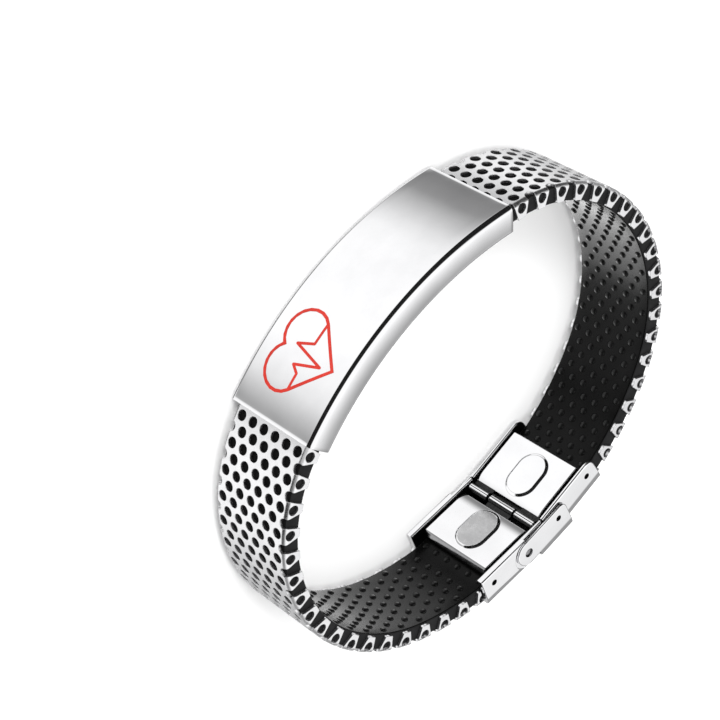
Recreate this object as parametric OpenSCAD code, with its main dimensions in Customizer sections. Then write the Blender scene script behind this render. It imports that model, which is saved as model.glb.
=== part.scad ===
// Identification bracelet lying on its side: the loop's axis is Z.
// The engraved plate is at -Y and the folding clasp at +Y.
// Depth is measured inward from the outer face of the steel mesh.

/* [Loop] */
// Radius of the mesh's outer face under the plate
crown_r = 51; // [48:0.5:54]
// Radius of the tight shoulder next to the plate
shoulder_r = 24.6; // [23.5:0.1:26]
// Turn of the shoulder in degrees
shoulder_deg = 34; // [31:0.5:37]
// Radius of the stretch that leads to the clasp
lower_r = 37.4; // [36.4:0.1:38.4]
// Turn of that stretch in degrees
lower_deg = 35.7; // [34:0.1:37]
// Length of the level stretch under the clasp's hinge
flat_len = 5.9; // [5:0.1:7]

/* [Strap] */
// Thickness of the silicone strap
strap_t = 2.3; // [2:0.05:2.35]
// Bevel along the strap's inner edges
strap_bevel = 0.3; // [0.1:0.05:0.5]

/* [Mesh] */
// Width across the folded mesh
mesh_w = 14; // [13:0.1:16]
// Thickness of the mesh's sheet
sheet_t = 0.4; // [0.3:0.01:0.4]
// Outer radius of the fold
fold_r = 0.7; // [0.5:0.05:0.9]
// Distance from tooth to tooth
tooth_pitch = 3.82; // [3.6:0.01:4]
// Diameter of the mesh's holes and of the round ends of the slots
hole_dia = 1.38; // [1.1:0.02:1.5]
// Width of a slot at the teeth's tips
slot_tip_w = 2.15; // [1.8:0.05:2.4]
// Distance from the plate's right end to the first tooth
first_tooth_right = 1.3; // [1:0.05:1.6]
// Distance from the plate's left end to the first tooth
first_tooth_left = 2.4; // [2.1:0.05:2.7]
// How far the mesh runs in under the plate
tuck_len = 2; // [1:0.1:3]

/* [Plate] */
// Length of the plate
plate_len = 40.6; // [38:0.2:42]
// Gap between the mesh's folds and the plate's side walls
plate_play = 0.1; // [0.05:0.01:0.2]
// How far the plate's face stands out from the mesh
plate_rise = 0.9; // [0.8:0.05:1.1]
// Thickness of the plate's face
plate_t = 0.7; // [0.5:0.05:0.75]
// Thickness of the plate's side walls
flange_t = 0.7; // [0.5:0.05:0.7]
// Depth that the side walls reach
flange_depth = 3.35; // [3.2:0.05:3.6]
// Width of the rolled lip under the strap
lip_w = 0.7; // [0.5:0.1:1]
// Thickness of the rolled lip
lip_t = 0.5; // [0.35:0.05:0.5]
// Radius of the plate's long edges
plate_edge_r = 0.6; // [0.3:0.05:0.65]
// Radius of the rolled edges at the bottom of the side walls
roll_r = 0.35; // [0.2:0.05:0.4]
// How far the plate's middle sits off the loop's middle
plate_shift = 1.5; // [0:0.1:2]

/* [Emblem] */
// Side of the square that the heart is drawn on
heart_side = 7; // [6:0.1:7.2]
// Width of the heart's outline
heart_line = 0.5; // [0.4:0.02:0.8]
// Width of the pulse line
pulse_line = 0.44; // [0.36:0.02:0.6]
// Distance of the emblem's middle from the plate's end
emblem_inset = 9.4; // [8.6:0.1:11]
// Depth of the inlay
inlay_t = 0.25; // [0.2:0.01:0.35]

/* [Clasp] */
// Distance of the hinge from the loop's middle
clasp_x = 2.2; // [1.6:0.1:2.6]
// Length of the left-hand cover
left_len = 12.6; // [12.2:0.1:13.2]
// Length of the right-hand cover
right_len = 12.8; // [12.2:0.1:13.4]
// How far the mesh's face stands out from the left-hand cover's line at its mouth
left_rise = -0.31; // [-0.4:0.01:-0.2]
// How far the mesh's face stands out from the right-hand cover's line at its mouth
right_rise = 0.29; // [0.2:0.01:0.34]
// Thickness of the covers' outer walls and thin side walls
cover_t = 0.5; // [0.4:0.02:0.5]
// Depth of the covers' side walls
wall_depth = 4.7; // [4.6:0.05:5]
// Radius of the left-hand cover's inner far corner
cover_end_r = 1.5; // [0.8:0.1:2]
// Diameter of the snap dots
snap_dia = 0.9; // [0.6:0.05:1.1]
// Depth of the snap dots
snap_depth = 0.2; // [0.1:0.02:0.25]
// Distance of a cover's snap dot from its far end
snap_inset = 2; // [1.6:0.1:2.4]

/* [Hinge] */
// Depth of the hinge pin's axis
pin_depth = 3.9; // [3.8:0.05:3.9]
// Diameter of the hinge pin
pin_dia = 0.8; // [0.7:0.02:0.84]
// Diameter of the two outer knuckles
knuckle_dia = 1.5; // [1.4:0.02:1.56]
// Diameter of the middle knuckle
mid_knuckle_dia = 1.3; // [1.2:0.02:1.4]
// Half the length of the middle knuckle
mid_knuckle_half = 2.4; // [2:0.1:2.6]
// Steel left beyond the pin's hole in the right-hand cover
pin_wall = 0.4; // [0.3:0.02:0.6]

/* [Clamp plates] */
// Thickness of the clamp plates
clamp_t = 0.5; // [0.4:0.02:0.5]
// Length of the left-hand clamp plate from the hinge
left_clamp_len = 10.4; // [9.8:0.1:10.8]
// Length of the right-hand clamp plate from the hinge
right_clamp_len = 9.5; // [9.2:0.1:10]
// Drop of the right-hand plate's bent lip
clamp_lip = 0.7; // [0.4:0.05:0.8]
// Length of the raised oval
oval_len = 7.4; // [6.6:0.1:7.4]
// Width of the raised oval
oval_w = 5.2; // [4.4:0.1:6]
// Height of the raised oval
oval_rise = 0.22; // [0.1:0.01:0.3]

/* [Flap] */
// Thickness of the flap's sheet
flap_t = 0.42; // [0.36:0.01:0.42]
// Angle between the flap and the right-hand cover in degrees
flap_turn = 5.5; // [5:0.1:6]
// Reach of the flap to the left of the hinge
flap_reach = 5; // [4.4:0.1:5.4]
// End of the flap's outer wall to the right of the hinge
flap_back = 1.8; // [1.4:0.1:1.9]
// Distance of the rivets to the right of the hinge
rivet_u = 3.6; // [3.5:0.05:3.8]
// Depth of the rivets
rivet_depth = 2.3; // [2.2:0.05:2.4]
// Diameter of the rivets
rivet_dia = 1.3; // [1.1:0.05:1.5]
// Radius of the flap's round end
flap_end_r = 2.1; // [1.9:0.05:2.15]
// Width of the crescent left round the flap's end
crescent = 0.6; // [0.55:0.01:0.7]
// Radius of the flap's free inner corner
flap_corner_r = 1; // [0.6:0.1:1.4]

/* [Clearances] */
// Gap between pieces that are pressed or laid together
seat_gap = 0.05; // [0.03:0.01:0.06]
// Gap on the radius between a turning piece and its pin
run_gap = 0.04; // [0.02:0.01:0.08]
// Gap between the flap and the covers that it folds over
flap_gap = 0.08; // [0.06:0.01:0.1]
// Gap between the mesh's end and the cover that it meets
mesh_gap = 0.15; // [0.1:0.01:0.25]
// Gap between the clamp plates' edges and the covers' side walls
clamp_gap = 0.35; // [0.2:0.05:0.6]
// Gap between the middle knuckle and the outer ones
knuckle_gap = 0.4; // [0.1:0.05:0.6]

/* [Hidden] */
$fn = 48;

// Overlap that lets one shape merge with or cut through another
bite = 0.3;
// Turn by which an arc laps the one before it, so that they merge
lap_deg = 0.2;
// How much slimmer each second arc is, so that lapped faces never touch
lap_step = 0.01;
// Straight steps in a rounded corner of a swept outline
corner_steps = 4;
// Straight steps in each lobe of the heart
heart_steps = 10;
// Steps of the hole lattice from the middle of the mesh to the round ends of the slots
lattice_rows = 3;
// Tries in which a cover's slope settles
tilt_steps = 6;
// Height of the heart's middle above its tip, as a share of its side
heart_middle = 0.78;
// Turn that separates the plate's end from the shoulder, as a length
crown_margin = 0.35;

steel = [0.83, 0.83, 0.84];
mirror_steel = [0.9, 0.9, 0.91];
silicone = [0.13, 0.13, 0.14];
enamel_red = [0.88, 0.22, 0.15];

// The loop is four arcs a side, tangent where they meet.
// headings[i] is the direction of travel where arc i starts.
crown_deg = (plate_len / 2 + plate_shift + crown_margin) / crown_r * 180 / PI;
headings = [0, crown_deg, crown_deg + shoulder_deg, 180 - lower_deg, 180];
flat_half = flat_len / 2;
// Sideways reach of the loop before its side arc is added, less the clasp's half flat
open_reach = crown_r * sin(headings[1])
    + shoulder_r * (sin(headings[2]) - sin(headings[1]))
    + lower_r * (0 - sin(headings[3])) - flat_half;
side_r = open_reach / (sin(headings[2]) - sin(headings[3]));
radii = [crown_r, shoulder_r, side_r, lower_r];

// Outward direction at a heading
function outward(a) = [sin(a), -cos(a)];
// Centre of an arc, with the crown's centre at the local origin
function centre(i) = i == 0 ? [0, 0]
    : centre(i - 1) + (radii[i - 1] - radii[i]) * outward(headings[i]);
// Length from the loop's middle to the start of an arc
function run_to(i) = i == 0 ? 0
    : run_to(i - 1) + radii[i - 1] * (headings[i] - headings[i - 1]) * PI / 180;
// Arc that holds a length, and the heading there
function arc_at(s, i = 0) = i == 3 || s < run_to(i + 1) ? i : arc_at(s, i + 1);
function heading_at(s) = let (i = arc_at(s)) headings[i] + (s - run_to(i)) / radii[i] * 180 / PI;

flat_y = centre(3)[1] + lower_r;
hinge_seat = [clasp_x, flat_y];

// Half widths, from the mesh out to the plate and from there in to the channel in the covers
mesh_half = mesh_w / 2;
strap_half = mesh_half - sheet_t - seat_gap;
overall_half = mesh_half + plate_play + flange_t;
flap_wall_in = overall_half - flap_t;
thin_half = flap_wall_in - flap_gap;
channel_half = thin_half - cover_t;
clamp_half = channel_half - clamp_gap;

// The plate's angles about the crown's centre
plate_half_deg = plate_len / 2 / crown_r * 180 / PI;
shift_deg = plate_shift / crown_r * 180 / PI;
tuck_deg = tuck_len / crown_r * 180 / PI;

// The holes make a triangular lattice, and two of its rows make one tooth pitch
hole_step = tooth_pitch / sqrt(3);
slot_end = lattice_rows * hole_step;

strap_depth = sheet_t + seat_gap;
tooth_depth = strap_depth + strap_t;

// Where the loop meets a cover's mouth: how far along X, and how far it has dropped there
function mouth_x(side, len, tilt) = len * cos(tilt) + side * clasp_x - flat_half;
function mouth_drop(x) = lower_r - sqrt(lower_r * lower_r - x * x);
// A cover slopes so that its mouth meets the loop
function cover_tilt(side, len, rise, steps = tilt_steps) = steps == 0 ? 0
    : asin((mouth_drop(mouth_x(side, len, cover_tilt(side, len, rise, steps - 1))) + rise) / len);
left_tilt = cover_tilt(-1, left_len, left_rise);
right_tilt = cover_tilt(1, right_len, right_rise);
flap_tilt = right_tilt - flap_turn;

// Place of the hinge pin in a cover's own frame, along the cover and in depth
function pin_along(tilt) = pin_depth * sin(tilt);
function pin_down(tilt) = pin_depth * cos(tilt);
pin_r = pin_dia / 2;
right_start = pin_along(right_tilt) - pin_r - pin_wall;
left_start = wall_depth * (sin(right_tilt) + sin(left_tilt)) - right_start + 2 * flap_gap;

// Where the loop meets a cover's mouth, as a heading on the arc that leads to the clasp
function mouth_heading(side, len, tilt) = 180 - asin(mouth_x(side, len, tilt) / lower_r);
left_mouth = mouth_heading(-1, left_len, left_tilt);
right_mouth = mouth_heading(1, right_len, right_tilt);
tail_lap_deg = 2 * bite / lower_r * 180 / PI;

flap_base_in = cover_t + flap_gap + seat_gap;
flap_base_out = flap_base_in + flap_t;

// Overall extent across the loop, from which the origin is centred
y_low = -(crown_r + plate_rise);
y_high = flat_y + flap_reach * sin(flap_tilt) + flap_base_out * cos(flap_tilt);
middle_y = (y_low + y_high) / 2;

module place() {
    translate([0, -middle_y, overall_half]) children();
}

// A copy on each side of the band's middle plane
module both_edges() {
    children();
    mirror([0, 0, 1]) children();
}

// Points of a quarter turn that rounds a corner, from one side to the other
function rounded(c, r, from, to) =
    [for (k = [0 : corner_steps]) let (a = from + (to - from) * k / corner_steps)
        c + r * [cos(a), sin(a)]];

// An outline's points on the other side of the middle plane, in the order that goes on round it
function flipped(points) = [for (k = [len(points) - 1 : -1 : 0]) [points[k][0], -points[k][1]]];

// Sweeps an outline of depth and height along one arc between two headings.
// The outline draws itself slimmer by $slim all round.
module along_arc(i, from, to) {
    $slim = i % 2 * lap_step;
    translate(centre(i)) rotate([0, 0, from - 90])
        rotate_extrude(angle = to - from) translate([radii[i], 0]) mirror([1, 0]) children();
}

// Sweeps an outline along the right half of the loop between two headings
module along_loop(from, to) {
    for (i = [0 : 3])
        if (from < headings[i + 1] && to > headings[i])
            along_arc(i, max(from, headings[i]) - lap_deg, min(to, headings[i + 1])) children();
}

// Frame of a cover: X runs away from the hinge, Y outward
module on_left() {
    translate(hinge_seat) rotate([0, 0, left_tilt]) mirror([1, 0, 0]) children();
}

module on_right() {
    translate(hinge_seat) rotate([0, 0, -right_tilt]) children();
}

module on_flap() {
    translate(hinge_seat) rotate([0, 0, -flap_tilt]) children();
}

// A slab between two heights
module slab(z0, z1) {
    translate([0, 0, z0]) linear_extrude(z1 - z0) children();
}

module strap_outline() {
    outer = strap_depth + $slim;
    inner = tooth_depth - $slim;
    half = strap_half - $slim;
    polygon([
        [outer, -half], [inner - strap_bevel, -half], [inner, strap_bevel - half],
        [inner, half - strap_bevel], [inner - strap_bevel, half], [outer, half]
    ]);
}

// Straight end of the strap inside a cover, in the cover's frame
module strap_tail(start, len, rise) {
    $slim = 0;
    translate([len, rise, 0]) rotate([0, -90, 0]) linear_extrude(len - start)
        rotate(-90) strap_outline();
}

module strap() color(silicone) place() {
    along_arc(0, -crown_deg, crown_deg) strap_outline();
    along_loop(crown_deg, right_mouth + tail_lap_deg) strap_outline();
    mirror([1, 0, 0]) along_loop(crown_deg, left_mouth + tail_lap_deg) strap_outline();
    on_left() strap_tail(left_start + bite, left_len, left_rise);
    on_right() strap_tail(pin_along(right_tilt) + knuckle_dia, right_len, right_rise);
}

// Outer skin of the folded mesh, as a channel
module mesh_outline() {
    inner_r = max(fold_r - sheet_t, sheet_t / 8);
    tip = tooth_depth - $slim;
    outer = concat([[tip, mesh_half - $slim]],
        rounded([fold_r, mesh_half - fold_r], fold_r - $slim, 90, 180));
    inner = concat(
        rounded([sheet_t + inner_r, mesh_half - sheet_t - inner_r], inner_r + $slim, 180, 90),
        [[tip, mesh_half - sheet_t + $slim]]);
    polygon(concat(outer, flipped(outer), flipped(inner), inner));
}

// One slot between two teeth, drawn at a heading's own frame with Y outward
module tooth_slot() {
    hole_r = hole_dia / 2;
    translate([0, bite, slot_end]) rotate([90, 0, 0]) cylinder(r = hole_r, h = fold_r + 2 * bite);
    slab(slot_end, mesh_half + bite)
        polygon([
            [-hole_r, bite], [hole_r, bite],
            [hole_r, -sheet_t], [slot_tip_w / 2, -tooth_depth - bite],
            [-slot_tip_w / 2, -tooth_depth - bite], [-hole_r, -sheet_t]
        ]);
}

// Right-hand shape of the mesh, from a heading under the plate to the cover's mouth.
// Tooth 0 is first_s along the loop, and a slot lies on each side of every tooth.
module mesh_side(start, mouth, first_s) {
    last_s = run_to(3) + (mouth - headings[3]) * lower_r * PI / 180;
    last_tooth = floor((last_s - first_s) / tooth_pitch);
    difference() {
        along_loop(start, mouth) mesh_outline();
        for (k = [-1 : last_tooth]) {
            s = first_s + (k + 0.5) * tooth_pitch;
            i = arc_at(s);
            a = heading_at(s);
            translate(centre(i) + radii[i] * outward(a)) rotate([0, 0, a + 180])
                both_edges() tooth_slot();
        }
    }
}

// All that lies nearer the hinge than a cover's mouth and the gap before it
module within_cover(len) {
    translate([-len, -2 * wall_depth, -overall_half])
        cube([2 * len + mesh_gap, 3 * wall_depth, 2 * overall_half]);
}

function plate_end_run(side) = plate_len / 2 + side * plate_shift;

module mesh_right() color(steel) place() difference() {
    mesh_side(plate_half_deg + shift_deg - tuck_deg, right_mouth,
        plate_end_run(1) + first_tooth_right);
    on_right() within_cover(right_len);
}

module mesh_left() color(steel) place() difference() {
    mirror([1, 0, 0]) mesh_side(plate_half_deg - shift_deg - tuck_deg, left_mouth,
        plate_end_run(-1) + first_tooth_left);
    on_left() within_cover(left_len);
}

module plate_outline() {
    inner_half = overall_half - flange_t;
    roll = min(roll_r, lip_t - seat_gap);
    half = concat(
        rounded([plate_edge_r - plate_rise, overall_half - plate_edge_r], plate_edge_r, 180, 90),
        rounded([flange_depth - roll, overall_half - roll], roll, 90, 0),
        [
            [flange_depth, inner_half - lip_w],
            [flange_depth - lip_t, inner_half - lip_w],
            [flange_depth - lip_t, inner_half],
            [plate_t - plate_rise, inner_half]
        ]);
    polygon(concat(half, flipped(half)));
}

// Points of a heart that stands on its tip, drawn inside its outer line by an inset.
// It is a square on its corner with a half circle on each upper side.
function heart(inset) =
    let (
        side = heart_side,
        r = side / 2 - inset,
        cleft = side * 0.75 + sqrt(r * r - side * side / 8) / sqrt(2),
        stop = atan2(cleft - side / 2, cleft - side),
        steps = heart_steps
    )
    concat(
        [[inset, inset]],
        [for (k = [0 : steps]) let (a = -90 + (stop + 90) * k / steps)
            [side, side / 2] + r * [cos(a), sin(a)]],
        [for (k = [1 : steps]) let (a = 90 - stop + (stop + 90) * k / steps)
            [side / 2, side] + r * [cos(a), sin(a)]]);

module heart_shape(inset) {
    rotate(45) polygon(heart(inset));
}

// Pulse line as shares of the heart's side: across, up
pulse = [[-0.9, 0.74], [-0.36, 0.74], [-0.24, 0.92], [-0.06, 0.34], [0.12, 1.1],
    [0.26, 0.74], [0.9, 0.74]];

module pulse_stroke(width) {
    for (k = [0 : len(pulse) - 2]) {
        a = pulse[k] * heart_side;
        b = pulse[k + 1] * heart_side;
        translate(a) rotate(atan2(b[1] - a[1], b[0] - a[0]))
            translate([0, -width / 2]) square([norm(b - a), width]);
        translate(b) circle(d = width, $fn = 8);
    }
}

// Lines of the emblem, slimmer all round by a gap
module emblem_outline(gap) {
    translate([0, -heart_side * heart_middle]) {
        difference() {
            heart_shape(gap);
            heart_shape(heart_line - gap);
        }
        intersection() {
            pulse_stroke(pulse_line - 2 * gap);
            heart_shape(heart_line / 2);
        }
    }
}

// Body of the emblem's inlay: the outline pushed in from the plate's face
module emblem_body(depth, gap) {
    face_r = crown_r + plate_rise;
    emblem_deg = shift_deg + plate_half_deg - emblem_inset / crown_r * 180 / PI;
    intersection() {
        rotate([0, 0, emblem_deg]) rotate([90, 0, 0]) slab(crown_r - plate_rise, face_r + bite)
            rotate(180) emblem_outline(gap);
        rotate([0, 0, -90]) rotate_extrude(angle = 2 * plate_half_deg)
            translate([face_r - depth, -mesh_half]) square([depth, mesh_w]);
    }
}

module id_plate() color(mirror_steel) place() difference() {
    rotate([0, 0, shift_deg - plate_half_deg - 90]) rotate_extrude(angle = 2 * plate_half_deg)
        translate([crown_r, 0]) mirror([1, 0]) plate_outline();
    emblem_body(inlay_t, 0);
}

module emblem() color(enamel_red) place() emblem_body(inlay_t - seat_gap / 2, seat_gap / 2);

// Channel of a cover in its own frame
module cover_channel(start, end) {
    translate([start, -wall_depth - bite, -channel_half])
        cube([end - start, wall_depth + bite, 2 * channel_half]);
}

module snap_dot(u, down, face_half) {
    both_edges() translate([u, -down, face_half - snap_depth])
        cylinder(d = snap_dia, h = snap_depth + bite);
}

module clasp_cover_left() color(mirror_steel) place() on_left() {
    corner = [left_len - cover_end_r, -wall_depth + cover_end_r];
    difference() {
        slab(-thin_half, thin_half) union() {
            translate([left_start, -wall_depth])
                square([left_len - cover_end_r - left_start, wall_depth + cover_t]);
            translate([left_start, corner[1]])
                square([left_len - left_start, -corner[1] + cover_t]);
            translate(corner) circle(r = cover_end_r);
        }
        cover_channel(left_start - bite, left_len + bite);
        snap_dot(left_len - snap_inset, wall_depth - snap_inset, thin_half);
    }
}

// Place of the flap's rivets in the right-hand cover's frame
rivet_right_u = rivet_u * cos(flap_turn) + rivet_depth * sin(flap_turn);
rivet_right_down = rivet_depth * cos(flap_turn) - rivet_u * sin(flap_turn);

module clasp_cover_right() color(mirror_steel) place() on_right() {
    recess_r = flap_end_r + crescent;
    difference() {
        slab(-overall_half, overall_half)
            translate([right_start, -wall_depth])
                square([right_len - right_start, wall_depth + cover_t]);
        cover_channel(right_start - bite, right_len + bite);
        both_edges() translate([rivet_right_u, -rivet_right_down, thin_half]) {
            cylinder(r = recess_r, h = overall_half);
            translate([-2 * flap_reach, -wall_depth, 0])
                cube([2 * flap_reach, 2 * wall_depth, overall_half]);
        }
        translate([rivet_right_u, -rivet_right_down, -overall_half])
            cylinder(d = rivet_dia + seat_gap, h = 2 * overall_half);
        translate([pin_along(right_tilt), -pin_down(right_tilt), -overall_half])
            cylinder(d = pin_dia + seat_gap, h = 2 * overall_half);
        snap_dot(right_len - snap_inset, wall_depth - snap_inset, overall_half);
    }
}

// Side view of a clamp plate, flat or with a bent lip at its far end
module clamp_side(start, end, lip) {
    top = clamp_t / 2;
    polygon([
        [start, -top], [end, -top],
        [end + lip, -top + lip], [end + lip, top + lip],
        [end - bite * lip, top], [start, top]
    ]);
}

module oval(len, width) {
    reach = (len - width) / 2;
    for (x = [-reach, reach]) translate([x, 0]) circle(d = width);
    translate([-reach, -width / 2]) square([2 * reach, width]);
}

// A clamp plate in the frame of the hinge: X along the plate, Y outward
module clamp_body(len, lip, main_start) {
    slab(-clamp_half, clamp_half) clamp_side(main_start, len, lip);
    translate([(main_start + len) / 2, 0, 0]) rotate([90, 0, 0])
        linear_extrude(clamp_t / 2 + oval_rise) oval(oval_len, oval_w);
}

module knuckle(d, z0, z1, reach) {
    translate([0, 0, z0]) cylinder(d = d, h = z1 - z0);
    translate([0, -clamp_t / 2, z0]) cube([reach, clamp_t, z1 - z0]);
}

// Start of the plates, clear of the other plate's knuckles
clamp_start = knuckle_dia / 2 + bite;
outer_knuckle_start = mid_knuckle_half + knuckle_gap;

module pin_hole(gap) {
    cylinder(r = pin_r + gap, h = 4 * overall_half, center = true);
}

module clamp_plate_left() color(mirror_steel) place() on_left()
    translate([pin_along(left_tilt), -pin_down(left_tilt), 0]) difference() {
        union() {
            clamp_body(left_clamp_len, 0, clamp_start);
            both_edges() knuckle(knuckle_dia, outer_knuckle_start, clamp_half,
                clamp_start + bite);
        }
        pin_hole(run_gap);
    }

module clamp_plate_right() color(mirror_steel) place() on_right()
    translate([pin_along(right_tilt), -pin_down(right_tilt), 0]) difference() {
        union() {
            clamp_body(right_clamp_len, clamp_lip, clamp_start);
            knuckle(mid_knuckle_dia, -mid_knuckle_half, mid_knuckle_half, clamp_start + bite);
        }
        pin_hole(run_gap);
    }

module hinge_pin() color(steel) place()
    translate([hinge_seat[0], hinge_seat[1] - pin_depth, -thin_half + seat_gap])
        cylinder(d = pin_dia, h = 2 * (thin_half - seat_gap));

module safety_flap() color(mirror_steel) place() on_flap() {
    inner_edge = -rivet_depth - flap_end_r;
    corner = [flap_corner_r - flap_reach, inner_edge + flap_corner_r];
    difference() {
        slab(-overall_half, overall_half) union() {
            translate([corner[0], inner_edge])
                square([rivet_u - corner[0], rivet_depth]);
            translate([-flap_reach, corner[1]])
                square([flap_reach + flap_back, flap_base_out - corner[1]]);
            translate(corner) circle(r = flap_corner_r);
            translate([rivet_u, -rivet_depth]) circle(r = flap_end_r);
            translate([corner[0], -rivet_depth])
                square([rivet_u - corner[0], flap_end_r]);
        }
        translate([-2 * flap_reach, -2 * wall_depth, -flap_wall_in])
            cube([4 * flap_reach, 2 * wall_depth + flap_base_in, 2 * flap_wall_in]);
        translate([rivet_u, -rivet_depth, -overall_half - bite])
            cylinder(r = rivet_dia / 2 + run_gap, h = 2 * overall_half + 2 * bite);
        snap_dot(snap_inset - flap_reach, wall_depth - snap_inset, overall_half);
    }
}

module flap_rivet() {
    on_flap() translate([rivet_u, -rivet_depth, channel_half])
        cylinder(d = rivet_dia, h = overall_half - channel_half - seat_gap);
}

module flap_rivet_top() color(steel) place() flap_rivet();

module flap_rivet_bottom() color(steel) place() mirror([0, 0, 1]) flap_rivet();

strap();
mesh_right();
mesh_left();
id_plate();
emblem();
clasp_cover_left();
clasp_cover_right();
clamp_plate_left();
clamp_plate_right();
hinge_pin();
safety_flap();
flap_rivet_top();
flap_rivet_bottom();
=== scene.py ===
"""Looks of the medical alert bracelet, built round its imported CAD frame."""
from contextlib import contextmanager
from math import acos, atan2, ceil, copysign, cos, hypot, pi, radians, sin, sqrt

import bmesh
import bpy
import numpy as np
from mathutils import Matrix, Vector
from mathutils.geometry import delaunay_2d_cdt

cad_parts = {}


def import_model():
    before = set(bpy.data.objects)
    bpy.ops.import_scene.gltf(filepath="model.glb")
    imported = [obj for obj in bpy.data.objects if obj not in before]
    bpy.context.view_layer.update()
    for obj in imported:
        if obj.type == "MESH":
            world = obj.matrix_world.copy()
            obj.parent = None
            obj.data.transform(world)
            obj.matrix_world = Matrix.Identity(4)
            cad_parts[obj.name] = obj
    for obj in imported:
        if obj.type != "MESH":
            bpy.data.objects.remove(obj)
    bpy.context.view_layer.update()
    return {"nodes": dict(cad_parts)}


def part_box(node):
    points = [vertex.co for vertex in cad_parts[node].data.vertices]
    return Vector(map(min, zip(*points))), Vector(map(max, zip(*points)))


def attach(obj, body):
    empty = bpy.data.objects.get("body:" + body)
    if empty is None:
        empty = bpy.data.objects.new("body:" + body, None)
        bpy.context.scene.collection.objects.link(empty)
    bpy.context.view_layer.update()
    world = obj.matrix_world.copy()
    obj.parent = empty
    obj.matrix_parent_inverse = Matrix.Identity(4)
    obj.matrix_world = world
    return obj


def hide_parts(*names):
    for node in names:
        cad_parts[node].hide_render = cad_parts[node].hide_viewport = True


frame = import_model()

MM = 0.001
# Least number that a length is divided by
TINY = 1e-12

# Sizes of the loop in millimetres, as the frame has them
CROWN_R, SHOULDER_R, LOWER_R = 51.0, 24.6, 37.4
SHOULDER_TURN, LOWER_TURN = radians(34.0), radians(35.7)
FLAT_HALF = 5.9 / 2
PLATE_LEN, PLATE_SHIFT, CROWN_MARGIN = 40.6, 1.5, 0.35
PLATE_RISE, PLATE_T, FLANGE_T, FLANGE_DEPTH = 0.9, 0.7, 0.7, 3.35
LIP_W, LIP_T = 0.7, 0.5
MESH_HALF, SHEET_T, FOLD_R = 7.0, 0.4, 0.7
PITCH, HOLE_R, SLOT_NECK_HALF, SLOT_TIP_HALF = 3.82, 0.73, 0.64, 1.16
FIRST_TOOTH = {1: 1.3, -1: 2.4}
TUCK = 2.0
SEAT_GAP, MESH_GAP = 0.05, 0.15
STRAP_T = 2.3
PLAY = 0.1
CLASP_X = 2.2
COVER_LEN = {1: 12.8, -1: 12.6}
MOUTH_RISE = {1: 0.29, -1: -0.31}
COVER_TILT = {1: radians(9.9833), -1: radians(1.992)}
TAIL_START = {1: 2.4, -1: 1.2}

STRAP_DEPTH = SHEET_T + SEAT_GAP
TOOTH_DEPTH = STRAP_DEPTH + STRAP_T
STRAP_HALF = MESH_HALF - SHEET_T - SEAT_GAP
OVERALL_HALF = MESH_HALF + PLAY + FLANGE_T
LATTICE = PITCH / sqrt(3)

# Headings and radii of the loop's four arcs, with the crown's centre at the local origin
CROWN_TURN = (PLATE_LEN / 2 + PLATE_SHIFT + CROWN_MARGIN) / CROWN_R
HEADINGS = np.array([0, CROWN_TURN, CROWN_TURN + SHOULDER_TURN, pi - LOWER_TURN, pi])
_sines = [sin(heading) for heading in HEADINGS]
_reach = CROWN_R * _sines[1] + SHOULDER_R * (_sines[2] - _sines[1]) - LOWER_R * _sines[3] - FLAT_HALF
RADII = np.array([CROWN_R, SHOULDER_R, _reach / (_sines[2] - _sines[3]), LOWER_R])

# First guess, as a share of the last arc's radius, and tries of the search for a cover's mouth
MOUTH_GUESS, MOUTH_TRIES = 0.25, 12


def outward(a):
    """Outward direction at a heading."""
    return np.stack([np.sin(a), -np.cos(a)], -1)


def arcs():
    """Centres of the arcs and the runs at which they start."""
    centres, runs = [np.zeros(2)], [0.0]
    for i in range(1, 4):
        centres.append(centres[-1] + (RADII[i - 1] - RADII[i]) * outward(HEADINGS[i]))
        runs.append(runs[-1] + RADII[i - 1] * (HEADINGS[i] - HEADINGS[i - 1]))
    return np.array(centres), np.array(runs)


CENTRES, RUNS = arcs()
FLAT_Y = CENTRES[3][1] + LOWER_R
# The frame's place of the crown's centre: the plate's face is the lowest point in Y
CROWN_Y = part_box("id_plate")[0].y / MM + CROWN_R + PLATE_RISE
MIDDLE_Z = OVERALL_HALF
HINGE = np.array([CLASP_X, FLAT_Y])


def loop_at(side, run, depth=0.0):
    """Point and outward direction in the loop's plane at a run on one side of its middle."""
    run = np.asarray(run, float)
    i = np.searchsorted(RUNS[1:], run, side="right")
    a = HEADINGS[i] + (run - RUNS[i]) / RADII[i]
    out = outward(a)
    point = CENTRES[i] + (RADII[i] - depth)[..., None] * out
    mirror = np.array([side, 1.0])
    return point * mirror, out * mirror


def radius_at(run):
    """Radius of the loop's arc at a run."""
    return RADII[np.searchsorted(RUNS[1:], run, side="right")]


def to_frame(xy, z):
    """Metres in the frame from the loop's plane and the height over its middle, in millimetres."""
    xy, z = np.broadcast_arrays(xy, np.asarray(z, float)[..., None])
    return np.concatenate([xy[..., :1], xy[..., 1:2] + CROWN_Y, z[..., :1] + MIDDLE_Z], -1) * MM


def cover_axes(side):
    """Directions along a cover, away from the hinge, and outward from it."""
    t = COVER_TILT[side]
    along = np.array([side * cos(t), -sin(t)])
    out = np.array([side * sin(t), cos(t)])
    return along, out


def mouth_run(side, depth, gap):
    """Run at which the loop, at a depth, comes within a gap of a cover's mouth."""
    along = cover_axes(side)[0]
    run = RUNS[3] + LOWER_R * MOUTH_GUESS
    for _ in range(MOUTH_TRIES):
        point = loop_at(side, run, depth)[0]
        run += float((point - HINGE) @ along) - COVER_LEN[side] - gap
    return run


# Small tools for outlines, meshes and pieces


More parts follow.
